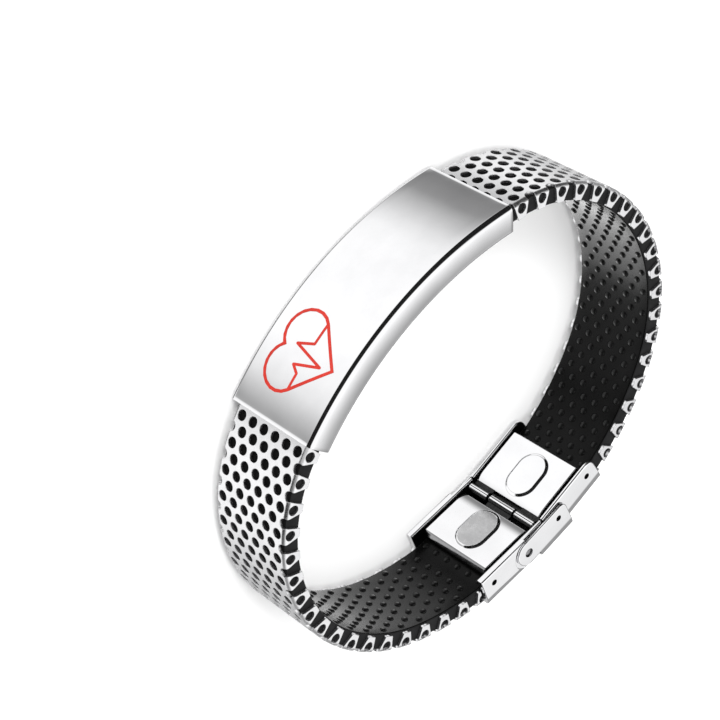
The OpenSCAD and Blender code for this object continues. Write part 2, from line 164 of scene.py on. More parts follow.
def rounded(centre, r, start, end, steps):
    """Points of an arc between two angles in degrees."""
    return [(centre[0] + r * cos(radians(start + (end - start) * k / steps)),
             centre[1] + r * sin(radians(start + (end - start) * k / steps)))
            for k in range(steps + 1)]


def circle(centre, r, steps, shift=0.0):
    """Points round a circle, moved on by a share of a step."""
    angles = [2 * pi * (k + shift) / steps for k in range(steps)]
    return [(centre[0] + r * cos(a), centre[1] + r * sin(a)) for a in angles]


def mirrored(outline):
    """An outline's points on the other side of its first axis, in reverse order."""
    return [(a, -b) for a, b in reversed(outline)]


def ring_faces(count, size, closed=False):
    """Faces between stacked rings of corners, and from the last ring to the first where closed."""
    pairs = [(i, (i + 1) % count) for i in range(count if closed else count - 1)]
    return [(i * size + k, i * size + (k + 1) % size, j * size + (k + 1) % size, j * size + k)
            for i, j in pairs for k in range(size)]


def end_faces(count, size):
    """Faces over the first and the last of stacked rings."""
    return [tuple(reversed(range(size))), tuple((count - 1) * size + k for k in range(size))]


@contextmanager
def edited(mesh):
    """A mesh's editable copy, written back at the end."""
    bm = bmesh.new()
    bm.from_mesh(mesh)
    yield bm
    bm.to_mesh(mesh)
    bm.free()


def linked(name, data):
    """An object of the scene with some data."""
    obj = bpy.data.objects.new(name, data)
    bpy.context.scene.collection.objects.link(obj)
    return obj


def new_object(name, verts, faces, normals=None):
    """A smooth mesh object from corners and faces, and from the corners' normals where they are given."""
    mesh = bpy.data.meshes.new(name)
    mesh.from_pydata([tuple(v) for v in verts], [], [tuple(f) for f in faces])
    mesh.polygons.foreach_set("use_smooth", [True] * len(mesh.polygons))
    if normals is not None:
        mesh.normals_split_custom_set_from_vertices([tuple(n) for n in normals])
    mesh.update()
    return linked(name, mesh)


def tidy_normals(obj, sharp=35):
    """Turns all faces outward and marks the edges sharper than an angle in degrees."""
    with edited(obj.data) as bm:
        bmesh.ops.recalc_face_normals(bm, faces=bm.faces)
    obj.data.set_sharp_from_angle(angle=radians(sharp))
    return obj


def stacked(name, verts, count):
    """A closed piece from the corners of a number of stacked rings."""
    size = len(verts) // count
    return tidy_normals(new_object(name, verts, ring_faces(count, size) + end_faces(count, size)))


def dress(obj, materials, slot, body, *nodes):
    """Gives a piece its materials, the body it rides on and the nodes it stands for; its slot is not used.
    """
    for material in materials if isinstance(materials, list) else [materials]:
        obj.data.materials.append(material)
    if nodes:
        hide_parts(*nodes)
    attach(obj, body)
    return obj


# The pierced mesh: drawn flat in run and width, then laid on the loop and folded over its edges

RIM = 0.07
FACE_HALF = MESH_HALF - FOLD_R
FOLD_LEN = FOLD_R * pi / 2
TIP_SHORT = 0.2
SHEET_HALF = FACE_HALF + FOLD_LEN + TOOTH_DEPTH - TIP_SHORT - FOLD_R
# Holes across the band in line with a tooth, without the tooth's own, and in line with a slot
TOOTH_ROW, SLOT_ROW = 6, 5
# Steps of a lattice from the middle to a tooth's hole and to the round end of a slot
TOOTH_HOLE, SLOT_START = 3.5, 3
FLANK_DEPTHS = (SHEET_T, 1.0, 1.7, 2.3, TOOTH_DEPTH + RIM)
HOLE_STEPS, SLOT_STEPS, FOLD_STEPS, TOOTH_STEPS = 24, 16, 6, 3
LINE_STEP, LINE_PAST = 0.6, 1
WELD = 1e-5
# Least share of the rim's full width at a sharp corner
CORNER_SHARE = 0.6


def fold_of(w):
    """Depth, height and fold angle of the sheet's outer face at a width from the middle."""
    wide = np.abs(w)
    theta = np.clip((wide - FACE_HALF) / FOLD_R, 0, pi / 2)
    down = np.maximum(wide - FACE_HALF - FOLD_LEN, 0)
    depth = FOLD_R * (1 - np.cos(theta)) + down
    height = np.minimum(wide, FACE_HALF) + FOLD_R * np.sin(theta)
    return depth, np.sign(w) * height, theta


def width_at(depth):
    """Width from the middle at which the sheet's outer face reaches a depth."""
    if depth > FOLD_R:
        return FACE_HALF + FOLD_LEN + depth - FOLD_R
    return FACE_HALF + FOLD_R * acos(1 - depth / FOLD_R)


def on_sheet(side, run, w, inset):
    """Places, normals and the directions of run and width on the sheet."""
    depth, height, theta = fold_of(w)
    sign = np.sign(w)
    point, out = loop_at(side, run, depth + inset * np.cos(theta))
    place = to_frame(point, height - sign * inset * np.sin(theta))
    flat = np.concatenate([out, np.zeros_like(out[..., :1])], -1)
    up = np.array([0.0, 0.0, 1.0])
    normal = flat * np.cos(theta)[..., None] + up * (sign * np.sin(theta))[..., None]
    across = -flat * (sign * np.sin(theta))[..., None] + up * np.cos(theta)[..., None]
    along = np.cross(across, normal) * side
    return place, normal, along, across


def across_band(count):
    """Places of a row of holes across the band."""
    return [(j - (count - 1) / 2) * LATTICE for j in range(count)]


def first_tooth(side):
    """Run of the first tooth past the plate's end."""
    return PLATE_LEN / 2 + side * PLATE_SHIFT + FIRST_TOOTH[side]


def hole(run, w):
    """Outline of a round hole, with the rim that is laid into it."""
    return circle((run, w), HOLE_R + RIM, HOLE_STEPS, 0.5)


def slot_outline(run, sign):
    """Slot between two teeth: a round end on the face, a neck, and sides that part towards the tips."""
    radius = float(radius_at(run))
    end_r, half = HOLE_R + RIM, SLOT_NECK_HALF + RIM
    past = acos(half / end_r)
    angles = [(pi + 2 * past) * k / SLOT_STEPS - past for k in range(SLOT_STEPS + 1)]
    arc = [(-end_r * cos(a), LATTICE * SLOT_START - end_r * sin(a)) for a in angles]
    slope = (SLOT_TIP_HALF - SLOT_NECK_HALF) / (TOOTH_DEPTH - SHEET_T)
    flank = []
    for depth in FLANK_DEPTHS:
        real = half + slope * (depth - SHEET_T)
        flank.append((real * radius / (radius - depth), width_at(depth)))
    left = [(-x, w) for x, w in reversed(flank)]
    return [(run + sign * x, sign * w) for x, w in left + arc + flank]


def sheet_openings(first, rows):
    """Holes and slots of one side's sheet, from the tooth before the first one."""
    openings = []
    for k in range(-1, rows):
        tooth, slot = first + k * PITCH, first + (k + 0.5) * PITCH
        openings += [hole(tooth, w) for w in across_band(TOOTH_ROW)]
        openings += [hole(tooth, sign * TOOTH_HOLE * LATTICE) for sign in (-1, 1)]
        openings += [hole(slot, w) for w in across_band(SLOT_ROW)]
        openings += [slot_outline(slot, sign) for sign in (-1, 1)]
    return openings


def sheet_pattern(side):
    """Outline of one side's sheet, its openings, and the lines along which it bends."""
    start = PLATE_LEN / 2 + side * PLATE_SHIFT - TUCK + RIM
    widths = [FACE_HALF] + [FACE_HALF + FOLD_LEN * k / FOLD_STEPS for k in range(1, FOLD_STEPS + 1)]
    folded = FACE_HALF + FOLD_LEN
    widths += [folded + (SHEET_HALF - folded) * k / TOOTH_STEPS for k in range(1, TOOTH_STEPS)]
    edge = SHEET_HALF - RIM

    def end_at(w):
        return mouth_run(side, float(fold_of(np.array(w))[0]), MESH_GAP) - RIM

    ends = [(end_at(w), w) for w in [-edge] + [-w for w in reversed(widths)] + widths + [edge]]
    border = [(start, -edge)] + ends + [(start, edge)]
    first = first_tooth(side)
    openings = sheet_openings(first, int((ends[0][0] - first) / PITCH) + 2)
    last = max(e[0] for e in ends) + LINE_PAST
    steps = int((last - start) / LINE_STEP)
    runs = [start - LINE_PAST + (last - start + LINE_PAST) * k / steps for k in range(steps + 1)]
    lines = [[(run, sign * w) for run in runs] for w in widths for sign in (-1, 1)]
    return border, openings, lines


def triangulate(border, openings, lines):
    """Triangles of the border's inside less the openings, with their corners in run and width."""
    points, faces, edges = [], [], []
    for outline in [border] + openings:
        faces.append(list(range(len(points), len(points) + len(outline))))
        points += outline
    for line in lines:
        edges += [(len(points) + k, len(points) + k + 1) for k in range(len(line) - 1)]
        points += line
    made = delaunay_2d_cdt([Vector(p) for p in points], edges, faces, 0, WELD, True)
    flat = np.array([tuple(v) for v in made[0]])
    kept = [f for f, source in zip(made[2], made[5]) if list(source) == [0]]
    return flat, np.array(kept)


def unit(vectors):
    """Vectors of length one, and none for a vector with no length."""
    return vectors / np.maximum(np.linalg.norm(vectors, axis=-1), TINY)[..., None]


def rim_of(flat, tris):
    """Edges that bound the sheet, and each bounding corner's way out, and how far, for an even rim."""
    directed = {(t[i], t[(i + 1) % 3]) for t in tris.tolist() for i in range(3)}
    edges = np.array(sorted(e for e in directed if (e[1], e[0]) not in directed))
    d = flat[edges[:, 1]] - flat[edges[:, 0]]
    n = unit(np.stack([d[:, 1], -d[:, 0]], -1))
    way = np.zeros_like(flat)
    np.add.at(way, edges[:, 0], n)
    np.add.at(way, edges[:, 1], n)
    way = unit(way)
    share = np.ones(len(flat))
    facing = (way[edges[:, 0]] * n).sum(1)
    np.minimum.at(share, edges[:, 0], np.maximum(facing, CORNER_SHARE))
    return edges, way, 1 / share


def pierced_sheet(name, side):
    """One side's folded sheet, with a rounded rim in each hole and slot."""
    flat, tris = triangulate(*sheet_pattern(side))
    edges, way, stretch = rim_of(flat, tris)
    used = np.unique(tris)
    index = -np.ones(len(flat), int)
    index[used] = np.arange(len(used))
    flat, way, stretch = flat[used], way[used], stretch[used]
    tris, edges = index[tris], index[edges]
    bound = np.unique(edges)
    slot_of = -np.ones(len(flat), int)
    slot_of[bound] = np.arange(len(bound))

    verts, normals = [], []

    def layer(which, reach, inset, lean):
        """Adds the corners moved out of the sheet by a reach and in by an inset, and gives their start."""
        first = sum(len(v) for v in verts)
        out = way[which] * (stretch[which] * reach)[:, None]
        run, w = (flat[which] + out).T
        place, normal, along, across = on_sheet(side, run, w, np.full(len(which), inset))
        to_void = along * way[which][:, :1] + across * way[which][:, 1:]
        verts.append(place)
        normals.append(normal * cos(lean) + to_void * sin(lean))
        return first

    everything = np.arange(len(flat))
    top = layer(everything, 0.0, 0.0, 0.0)
    rings = []
    for lean in (pi / 4, pi / 2):
        rings.append(layer(bound, RIM * sin(lean), RIM * (1 - cos(lean)), lean))
    rings.append(layer(bound, RIM, SHEET_T, pi / 2))
    reach = np.zeros(len(flat))
    reach[bound] = RIM
    under = layer(everything, reach, SHEET_T, pi)

    faces = [tris + top, tris[:, ::-1] + under]
    a, b = slot_of[edges[:, 0]], slot_of[edges[:, 1]]
    levels = [(edges[:, 0], edges[:, 1])] + [(a + r, b + r) for r in rings]
    quads = [np.stack([hi[1], hi[0], lo[0], lo[1]], -1) for hi, lo in zip(levels, levels[1:])]
    if side < 0:
        faces = [f[:, ::-1] for f in faces]
        quads = [q[:, ::-1] for q in quads]
    listed = [f for group in faces + quads for f in group.tolist()]
    return new_object(name, np.concatenate(verts), listed, np.concatenate(normals))


# Sweep of an outline of depth and height round the loop


def sweep(name, outline, stations):
    """A closed outline of (depth, height) carried through stations of (point, outward, shrink)."""
    outline = np.array(outline)
    before, after = np.roll(outline, 1, 0), np.roll(outline, -1, 0)
    d = after - before
    inward = unit(np.stack([-d[:, 1], d[:, 0]], -1))
    inward *= np.sign(np.sum(outline[:, 0] * after[:, 1] - after[:, 0] * outline[:, 1]))
    verts = []
    for point, out, shrink in stations:
        moved = outline + inward * shrink
        verts.append(to_frame(point - out * moved[:, :1], moved[:, 1]))
    return stacked(name, np.concatenate(verts), len(stations))


# The strap with its grip

STRAP_ROUND, STRAP_OUTER_ROUND, STRAP_END = 0.3, 0.12, 0.12
# Steps of the strap's rounded edges, of its side from top to bottom, and of half its inner face
OUTER_STEPS, INNER_STEPS, SIDE_STEPS, HALF_STEPS = 3, 5, 6, 4
STRAP_STEP, STRAP_GAP, TAIL_STEPS, TAIL_IN = 0.8, 0.6, 12, 0.5
GRIP_R, GRIP_HIGH = 0.5, 0.28
GRIP_ANGLES, GRIP_STEPS = (-6, 20, 42, 64, 82), 14
# Rows of dots inside a cover, how far in the first one is, and the room before the cover's mouth
GRIP_TAIL, GRIP_TAIL_IN, GRIP_GAP = 4, 1.0, 0.4


def tail_point(side, u):
    """Point and outward direction of the mesh's line inside a cover, at a length from the hinge."""
    along, out = cover_axes(side)
    return HINGE + along * u + out * MOUTH_RISE[side], out


def strap_line():
    """Stations of the strap from the end of its left tail round to the end of the right one."""
    def half(side):
        end = mouth_run(side, TOOTH_DEPTH / 2, STRAP_GAP)
        here = [loop_at(side, run) for run in np.linspace(0, end, int(end / STRAP_STEP))]
        tail = [tail_point(side, u)
                for u in np.linspace(COVER_LEN[side] - TAIL_IN, TAIL_START[side], TAIL_STEPS)]
        return [(point, out / np.linalg.norm(out), 0.0) for point, out in here + tail]

    stations = half(-1)[::-1] + half(1)[1:]
    for end in (0, -1):
        stations[end] = (*stations[end][:2], STRAP_END)
    return stations


def strap_skin():
    """Silicone strap, with soft edges on its inner side and sharper ones on its outer side."""
    upper = rounded((STRAP_DEPTH + STRAP_OUTER_ROUND, STRAP_HALF - STRAP_OUTER_ROUND),
                    STRAP_OUTER_ROUND, 180, 90, OUTER_STEPS)
    upper += [(STRAP_DEPTH + STRAP_T * k / SIDE_STEPS, STRAP_HALF) for k in range(1, SIDE_STEPS - 1)]
    inner = STRAP_HALF - STRAP_ROUND
    upper += rounded((TOOTH_DEPTH - STRAP_ROUND, inner), STRAP_ROUND, 90, 0, INNER_STEPS)
    upper += [(TOOTH_DEPTH, inner * k / HALF_STEPS) for k in range(HALF_STEPS - 1, 0, -1)]
    return sweep("strap_skin", upper + [(TOOTH_DEPTH, 0.0)] + mirrored(upper), strap_line())


def grip_dot():
    """Corners and faces of one raised dot, with its height last."""
    verts = []
    for angle in map(radians, GRIP_ANGLES):
        ring = circle((0, 0), GRIP_R * cos(angle), GRIP_STEPS)
        verts += [(x, y, GRIP_HIGH * sin(angle)) for x, y in ring]
    faces = ring_faces(len(GRIP_ANGLES), GRIP_STEPS)
    top = len(verts) - GRIP_STEPS
    faces += [(top + k, top + (k + 1) % GRIP_STEPS, len(verts)) for k in range(GRIP_STEPS)]
    return np.array(verts + [(0, 0, GRIP_HIGH)]), faces


def grip_rows(side):
    """Number, point and outward direction of each row of dots on one side of the loop and in its cover."""
    step = PITCH / 2
    first = first_tooth(side)
    end = mouth_run(side, TOOTH_DEPTH, GRIP_GAP)
    k = ceil((0.0 if side > 0 else step / 2) - first / step)
    rows = []
    while first + k * step < end:
        if first + k * step > 0:
            rows.append((k, *loop_at(side, first + k * step, TOOTH_DEPTH)))
        k += 1
    for t in range(GRIP_TAIL):
        point, out = tail_point(side, COVER_LEN[side] - GRIP_TAIL_IN - t * step)
        rows.append((k + t, point - out * TOOTH_DEPTH, out))
    return rows


def strap_grip():
    """Raised dots in staggered rows on the strap's inner face."""
    dot, dot_faces = grip_dot()
    verts, faces, count = [], [], 0
    for k, point, out in grip_rows(-1) + grip_rows(1):
        tangent = np.array([-out[1], out[0]])
        for w in across_band(SLOT_ROW if k % 2 else TOOTH_ROW):
            flat = point + tangent * dot[:, :1] - out * dot[:, 2:]
            verts.append(to_frame(flat, w + dot[:, 1]))
            faces += [tuple(v + count for v in f) for f in dot_faces]
            count += len(dot)
    return tidy_normals(new_object("strap_grip", np.concatenate(verts), faces), sharp=60)


# The plate

EDGE_R, ROLL_R, LIP_CORNER = 0.72, 0.35, 0.1
FACE_DROP = 0.02
# How far the side walls lean in at their lips, and the power of the curve that leads there
WALL_LEAN, LEAN_POWER = 0.3, 1.6
END_BEVEL = 0.05
FACE_STEPS, EDGE_STEPS, WALL_STEPS, ROLL_STEPS, BEVEL_STEPS, PLATE_STEPS = 6, 12, 12, 8, 3, 80


def plate_outline():
    """Cross-section of the plate: a flat face, round edges, and walls that lean in to their rolled lips."""
    inner = OVERALL_HALF - FLANGE_T
    low, high = FACE_DROP - PLATE_RISE, FLANGE_DEPTH
    wall_start, wall_end = low + EDGE_R, high - ROLL_R
    half = [(low, (OVERALL_HALF - EDGE_R) * k / FACE_STEPS) for k in range(1, FACE_STEPS)]
    half += rounded((wall_start, OVERALL_HALF - EDGE_R), EDGE_R, 180, 90, EDGE_STEPS)
    for k in range(1, WALL_STEPS):
        t = k / WALL_STEPS
        half.append((wall_start + (wall_end - wall_start) * t, OVERALL_HALF - WALL_LEAN * t ** LEAN_POWER))
    half += rounded((wall_end, OVERALL_HALF - WALL_LEAN - ROLL_R), ROLL_R, 90, 0, ROLL_STEPS)
    half += [(high, inner - LIP_W + LIP_CORNER), (high - LIP_CORNER, inner - LIP_W),
             (high - LIP_T, inner - LIP_W), (high - LIP_T, inner), (PLATE_T - PLATE_RISE, inner)]
    return half + mirrored(half) + [(low, 0.0)]


def plate_skin():
    """Curved plate, with a small bevel at both ends."""
    half_turn = PLATE_LEN / 2 / CROWN_R
    end = []
    for k in range(BEVEL_STEPS + 1):
        lean = radians(90 * (BEVEL_STEPS - k) / BEVEL_STEPS)
        run_in = END_BEVEL * (1 - sin(lean)) / (half_turn * CROWN_R)
        end.append((1 - run_in, END_BEVEL * (1 - cos(lean))))
    middle = [(t, 0.0) for t in np.linspace(-1, 1, PLATE_STEPS + 1)[1:-1]]
    line = []
    for t, shrink in [(-t, shrink) for t, shrink in end] + middle + end[::-1]:
        out = outward(np.array(t * half_turn + PLATE_SHIFT / CROWN_R))
        line.append((CROWN_R * out, out, shrink))
    return sweep("plate_skin", plate_outline(), line)


# The clasp, drawn in a cover's own frame: u runs away from the hinge and y outward

COVER_T, FLAP_T, WALL_DEPTH, FAR_ROUND = 0.5, 0.42, 4.7, 1.5
FLAP_GAP, CLAMP_PLAY = 0.08, 0.35
FLAP_WALL_IN = OVERALL_HALF - FLAP_T
THIN_HALF = FLAP_WALL_IN - FLAP_GAP
CHANNEL_HALF = THIN_HALF - COVER_T
CLAMP_HALF = CHANNEL_HALF - CLAMP_PLAY
PIN_DEPTH, PIN_R, PIN_WALL, PIN_GAP = 3.9, 0.4, 0.4, 0.04
FLAP_TURN = radians(5.5)
FLAP_REACH, FLAP_BACK, FLAP_END_R, FLAP_CORNER_R = 5.0, 1.8, 2.1, 1.0
RIVET_U, RIVET_DEPTH, RIVET_R, CRESCENT = 3.6, 2.3, 0.65, 0.6
SNAP_R, SNAP_INSET, SNAP_DEPTH = 0.45, 2.0, 0.34
FLAP_BASE = COVER_T + FLAP_GAP + SEAT_GAP
CORNER_LONG, CORNER_SHORT = 2.0, 0.6
CORNER_STEPS, END_STEPS, DISC_STEPS, SNAP_STEPS, FAR_STEPS, FLAP_STEPS = 12, 28, 40, 24, 10, 8
RIM_ROUND, SMALL_ROUND, COVER_RIM = 0.19, 0.07, 0.42
RIM_SEGMENTS, SMALL_SEGMENTS = 4, 2

# Places of the materials in a clasp piece's slots: plain steel, painted shade, painted shade on the bent
# lip, and a stamped satin finish that is partly painted shade
STEEL, PAINTED_SHADE, SHADED, STAMP_AND_SHADE = range(4)
# Reach of the cutting tools, past every piece, and of a snap dot's tool past its wall
PAST, FAR_PAST, DOT_PAST = 20, 40, 1
# Room for error when faces and edges are told apart by where they lie
CLOSE, NEAR, DOT_EDGE, BELOW_TOP, IN_PLANE = 0.01, 0.02, 0.03, 0.05, 0.06
# How much of a face's direction lies along an axis: all of it, most, half or little
ALL, MOST, HALFWAY, LITTLE = 0.99, 0.9, 0.5, 0.3
# Angles between two faces: from which their edge is rounded, and under which they are one
SHARP, VERY_SHARP, FLAT = radians(30), radians(50), radians(1)
WELD_LEN, LEVEL_AREA = 0.002, 0.5


def cover_start(side):
    """Where a cover starts, at a length from the hinge."""
    right = PIN_DEPTH * sin(COVER_TILT[1]) - PIN_R - PIN_WALL
    if side > 0:
        return right
    return WALL_DEPTH * (sin(COVER_TILT[1]) + sin(COVER_TILT[-1])) - right + 2 * FLAP_GAP


def hinge_place(along, out):
    """Matrix from millimetres at the hinge, along two directions, to the model's frame."""
    turn = Matrix(((along[0], out[0], 0), (along[1], out[1], 0), (0, 0, 1))).to_4x4()
    return Matrix.Scale(MM, 4) @ Matrix.Translation((HINGE[0], HINGE[1] + CROWN_Y, MIDDLE_Z)) @ turn


def flap_place():
    """Matrix from the flap's frame in millimetres to the model's frame."""
    t = COVER_TILT[1] - FLAP_TURN
    return hinge_place((cos(t), -sin(t)), (sin(t), cos(t)))


def prism(outline, low, high, along="z"):
    """Solid between two places along an axis, from an outline of (u, y) or, along u, of (y, z)."""
    if along == "z":
        verts = [(u, y, z) for z in (low, high) for u, y in outline]
    else:
        verts = [(u, y, z) for u in (low, high) for y, z in outline]
    size = len(outline)
    return tidy_normals(new_object("tool", verts, end_faces(2, size) + ring_faces(2, size)))


def combine(obj, tool, operation="DIFFERENCE"):
    """Applies an exact boolean of a tool to a piece and removes the tool."""
    step = obj.modifiers.new("step", "BOOLEAN")
    step.operation, step.solver, step.object = operation, "EXACT", tool
    graph = bpy.context.evaluated_depsgraph_get()
    made = bpy.data.meshes.new_from_object(obj.evaluated_get(graph))
    obj.modifiers.clear()
    obj.data = made
    bpy.data.objects.remove(tool)


def near_outline(point, outline):
    """Distance from a point to a closed outline."""
    p = np.array(point)
    a = np.array(outline)
    b = np.roll(a, -1, 0)
    ab = b - a
    t = np.clip(((p - a) * ab).sum(1) / np.maximum((ab * ab).sum(1), TINY), 0, 1)
    return float(np.min(np.linalg.norm(a + ab * t[:, None] - p, axis=1)))


def soften(obj, choose, width, segments):
    """Rounds the sharp edges that a test picks."""
    with edited(obj.data) as bm:
        bmesh.ops.remove_doubles(bm, verts=bm.verts, dist=WELD_LEN)
        bmesh.ops.dissolve_limit(bm, angle_limit=FLAT, verts=bm.verts, edges=bm.edges)
        bmesh.ops.recalc_face_normals(bm, faces=bm.faces)
        picked = [e for e in bm.edges
                  if len(e.link_faces) == 2 and e.calc_face_angle() > SHARP and choose(e)]
        bmesh.ops.bevel(bm, geom=picked, offset=width, offset_type="OFFSET", segments=segments, profile=0.5,
                        affect="EDGES", clamp_overlap=False, loop_slide=True)


def level_sides(mesh, half):
    """Puts the corners of the two side faces back into their planes after the edges are rounded."""
    for poly in mesh.polygons:
        across = abs(poly.normal.z) > ALL and abs(poly.center.z) > half - IN_PLANE
        if across and poly.area > LEVEL_AREA:
            for v in poly.vertices:
                mesh.vertices[v].co.z = copysign(half, poly.center.z)


def split_at(mesh, y):
    """Cuts a mesh's faces along a plane across its y axis."""
    with edited(mesh) as bm:
        bmesh.ops.bisect_plane(bm, geom=bm.verts[:] + bm.edges[:] + bm.faces[:], plane_co=(0, y, 0),
                               plane_no=(0, 1, 0))


def folded_solid(name, profile, half, inner_half, top, inner_top, cuts, dots):
    """Channel of folded sheet: a side profile with rounded outer corners, a hollow, cuts and snap dots."""
    piece = prism(profile, -half, half)
    piece.name = piece.data.name = name
    corner = [(top - CORNER_LONG * (1 - x), CORNER_SHORT * (1 + z) - half)
              for x, z in rounded((0, 0), 1, -90, 0, CORNER_STEPS)]
    section = [(-PAST, -half), *corner]
    combine(piece, prism(section + mirrored(section), -FAR_PAST, FAR_PAST, "u"), "INTERSECT")
    hollow = [(-FAR_PAST, -PAST), (FAR_PAST, -PAST), (FAR_PAST, inner_top), (-FAR_PAST, inner_top)]
    combine(piece, prism(hollow, -inner_half, inner_half))
    for outline, low, high in cuts:
        combine(piece, prism(outline, low, high))
    for u, y, face in dots:
        for sign in (1, -1):
            low, high = sorted((sign * (face - SNAP_DEPTH), sign * (face + DOT_PAST)))
            combine(piece, prism(circle((u, y), SNAP_R, SNAP_STEPS), low, high))
    return piece


def folded_piece(name, profile, half, inner_half, top, inner_top, place, cuts, dots, bright_rim=0.0):
    """Folded channel with soft edges, painted shade on its inner side and in its snap dots but for a bright
    rim, and put in its place.
    """
    piece = folded_solid(name, profile, half, inner_half, top, inner_top, cuts, dots)

    def on_rim(e):
        middle = (e.verts[0].co + e.verts[1].co) / 2
        flat = sorted(abs(f.normal.z) for f in e.link_faces)
        at_side = flat[1] > MOST and flat[0] < LITTLE and middle.y < inner_top - BELOW_TOP
        return at_side and near_outline((middle.x, middle.y), profile) < CLOSE

    soften(piece, on_rim, RIM_ROUND * min(1, (half - inner_half) / COVER_T), RIM_SEGMENTS)
    soften(piece, lambda e: e.calc_face_angle() > VERY_SHARP, SMALL_ROUND, SMALL_SEGMENTS)
    mesh = piece.data
    rim_y = min(y for _, y in profile) + bright_rim
    if bright_rim:
        split_at(mesh, rim_y)
    # Faces inside the channel below the bright rim, and those in the snap dots, get painted shade
    for poly in mesh.polygons:
        c = poly.center
        in_dot = any(hypot(c.x - u, c.y - y) < SNAP_R + CLOSE and abs(c.z) < face - DOT_EDGE
                     for u, y, face in dots)
        inside = abs(c.z) < inner_half + NEAR and rim_y < c.y < inner_top + NEAR
        if in_dot or inside and abs(poly.normal.x) < HALFWAY:
            poly.material_index = PAINTED_SHADE
    level_sides(mesh, half)
    mesh.transform(place)
    mesh.polygons.foreach_set("use_smooth", [True] * len(mesh.polygons))
    tidy_normals(piece, sharp=40)
    weigh = piece.modifiers.new("weigh", "WEIGHTED_NORMAL")
    weigh.mode, weigh.keep_sharp, weigh.weight = "FACE_AREA_WITH_ANGLE", True, 100
    return piece


def flap_room():
    """Cuts that thin the right-hand cover's side walls round the flap's end."""
    u = RIVET_U * cos(FLAP_TURN) + RIVET_DEPTH * sin(FLAP_TURN)
    y = RIVET_U * sin(FLAP_TURN) - RIVET_DEPTH * cos(FLAP_TURN)
    r = FLAP_END_R + CRESCENT
    recess = [(-PAST, y - r), *rounded((u, y), r, -90, 90, END_STEPS), (-PAST, y + r)]
    wide = [(-PAST, -PAST), (u, -PAST), (u, PAST), (-PAST, PAST)]
    return [(outline, low, high) for outline in (recess, wide)
            for low, high in ((THIN_HALF, PAST), (-PAST, -THIN_HALF))]


def cover_skin(name, side):
    """Clasp cover: the left one is narrow with a round far corner, the right one has room for the flap."""
    start, end, top = cover_start(side), COVER_LEN[side], COVER_T
    if side < 0:
        far = rounded((end - FAR_ROUND, -WALL_DEPTH + FAR_ROUND), FAR_ROUND, -90, 0, FAR_STEPS)
        half, cuts = THIN_HALF, []
    else:
        far = [(end, -WALL_DEPTH)]
        half, cuts = OVERALL_HALF, flap_room()
    profile = [(start, -WALL_DEPTH)] + far + [(end, top), (start, top)]
    dots = [(end - SNAP_INSET, SNAP_INSET - WALL_DEPTH, half)]
    place = hinge_place(*cover_axes(side))
    return folded_piece(name, profile, half, CHANNEL_HALF, top, 0.0, place, cuts, dots, COVER_RIM)


def flap_skin(name):
    """Safety flap, with a round end at its rivets."""
    low, top = -RIVET_DEPTH - FLAP_END_R, FLAP_BASE + FLAP_T
    corner = (FLAP_CORNER_R - FLAP_REACH, low + FLAP_CORNER_R)
    profile = [*rounded(corner, FLAP_CORNER_R, -180, -90, FLAP_STEPS),
               *rounded((RIVET_U, -RIVET_DEPTH), FLAP_END_R, -90, 90, END_STEPS),
               (FLAP_BACK, FLAP_END_R - RIVET_DEPTH), (FLAP_BACK, top), (-FLAP_REACH, top)]
    cuts = [(circle((RIVET_U, -RIVET_DEPTH), RIVET_R + PIN_GAP, DISC_STEPS), -PAST, PAST)]
    dots = [(SNAP_INSET - FLAP_REACH, SNAP_INSET - WALL_DEPTH, OVERALL_HALF)]
    return folded_piece(name, profile, OVERALL_HALF, FLAP_WALL_IN, top, FLAP_BASE, flap_place(), cuts, dots)


# The clamp plates: pressed sheet with a raised oval, and knuckles rolled round the hinge pin

CLAMP_T, CLAMP_LIP, CLAMP_LEN = 0.5, 0.7, {1: 9.5, -1: 10.4}
CLAMP_START, SHEET_START = 1.05, 1.28
CLAMP_TOP, CLAMP_BOTTOM = CLAMP_HALF - 0.45, CLAMP_HALF + 0.2
PLATE_ROUND, ROUND_PLACES = 0.14, (0.0, 0.02, 0.05, 0.09, 0.14)
CLAMP_GRID, SLOPE_STEP = 0.08, 0.004
OVAL_LEN, OVAL_W, OVAL_RISE, OVAL_SHOULDER, OVAL_PAST, STAMP_IN = 7.4, 5.2, 0.22, 0.5, 0.05, -0.45
# Radius, start and end of each side's upper knuckle; the right-hand plate has one in the middle
KNUCKLES = {-1: (0.75, 2.8, CLAMP_HALF), 1: (0.65, -2.4, 2.4)}
KNUCKLE_SOFT, KNUCKLE_STEPS, WEB_START, WEB_IN = 0.06, 72, 0.5, 0.1
# How far the sheet bends up to its knuckles, and over what length
HINGE_CURL, HINGE_REACH = 0.3, 1.9
# Shares of the way out and of straight back in the normals behind a clamp plate
BACK_OUT, BACK_STRAIGHT = 0.6, 0.8
# Angles between which the knuckles keep bright steel; outside them their faces are painted shade
KNUCKLE_LIT = (radians(5), radians(24))


def spaced(low, high):
    """Places across a width, closer together at both edges so that they round well."""
    count = int((high - low) / CLAMP_GRID)
    inner = np.linspace(low + PLATE_ROUND, high - PLATE_ROUND, count)[1:-1]
    near = np.array(ROUND_PLACES)
    return np.concatenate([low + near, inner, high - near[::-1]])


def lip_end(side):
    """Far end of a clamp plate, with the right-hand one's bent lip."""
    return CLAMP_LEN[side] + (CLAMP_LIP if side > 0 else 0)


def lip_bend(side, u):
    """How far the right-hand plate's lip bends inward at a length from the hinge."""
    return np.maximum(u - CLAMP_LEN[side], 0) ** 2 / CLAMP_LIP if side > 0 else 0.0


def smooth_step(t):
    """From zero to one, level at both ends."""
    t = np.clip(t, 0, 1)
    return t * t * (3 - 2 * t)


